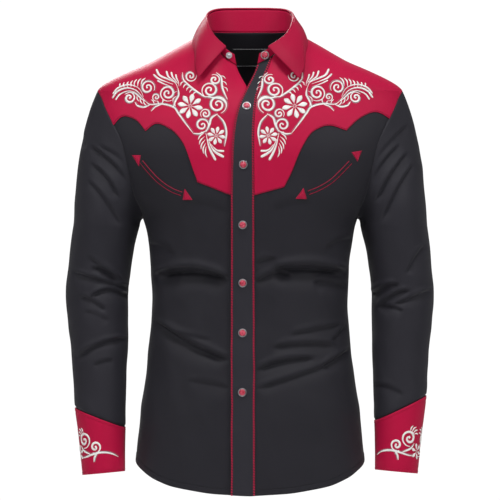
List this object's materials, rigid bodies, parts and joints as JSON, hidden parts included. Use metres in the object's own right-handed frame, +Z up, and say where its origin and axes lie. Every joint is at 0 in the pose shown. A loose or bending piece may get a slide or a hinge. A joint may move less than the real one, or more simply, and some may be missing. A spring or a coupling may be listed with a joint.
{
  "type": "western snap shirt",
  "caption": "Long-sleeved western shirt, filled out as if worn: scalloped contrast yokes, point collar, curved smile pockets, placket with pearl snaps and slanted contrast cuffs.",
  "frame": {"origin": "middle of the neck opening, level with the shoulder seams, where a wearer's shoulders hold the shirt", "axes": "+Z up along the body, -Y out of the front, +X towards the wearer's left"},
  "size_m": [0.596, 0.2529, 0.7864],
  "materials": {
    "black_cloth": "smooth black shirting",
    "crimson_cloth": "smooth crimson shirting",
    "snap_pearl": "pearly red cap",
    "snap_metal": "silver-coloured rim",
    "label": "woven black label, bare"
  },
  "bodies": {
    "root": {"front_left": "black_cloth", "front_right": "black_cloth", "back": "black_cloth", "yoke_front_right": "crimson_cloth", "yoke_back": "crimson_cloth", "placket": "black_cloth", "yoke_front_left": "crimson_cloth", "sleeve_left": "black_cloth", "sleeve_right": "black_cloth", "cuff_left": "crimson_cloth", "cuff_right": "crimson_cloth", "collar_stand": "crimson_cloth", "collar_leaf": "crimson_cloth", "pocket_welt_right": "crimson_cloth", "pocket_arrow_right_1": "crimson_cloth", "pocket_arrow_right_2": "crimson_cloth", "pocket_welt_left": "crimson_cloth", "pocket_arrow_left_1": "crimson_cloth", "pocket_arrow_left_2": "crimson_cloth", "snap_front_1_rim": "snap_metal", "snap_front_1_pearl": "snap_pearl", "snap_front_2_rim": "snap_metal", "snap_front_2_pearl": "snap_pearl", "snap_front_3_rim": "snap_metal", "snap_front_3_pearl": "snap_pearl", "snap_front_4_rim": "snap_metal", "snap_front_4_pearl": "snap_pearl", "snap_front_5_rim": "snap_metal", "snap_front_5_pearl": "snap_pearl", "snap_front_6_rim": "snap_metal", "snap_front_6_pearl": "snap_pearl", "snap_cuff_left_1_rim": "snap_metal", "snap_cuff_left_1_pearl": "snap_pearl", "snap_cuff_left_2_rim": "snap_metal", "snap_cuff_left_2_pearl": "snap_pearl", "snap_cuff_right_1_rim": "snap_metal", "snap_cuff_right_1_pearl": "snap_pearl", "snap_cuff_right_2_rim": "snap_metal", "snap_cuff_right_2_pearl": "snap_pearl", "snap_neck_stud": "snap_metal", "snap_neck_rim": "snap_metal", "snap_neck_pearl": "snap_pearl", "neck_label": "label"}
  },
  "joints": []
}
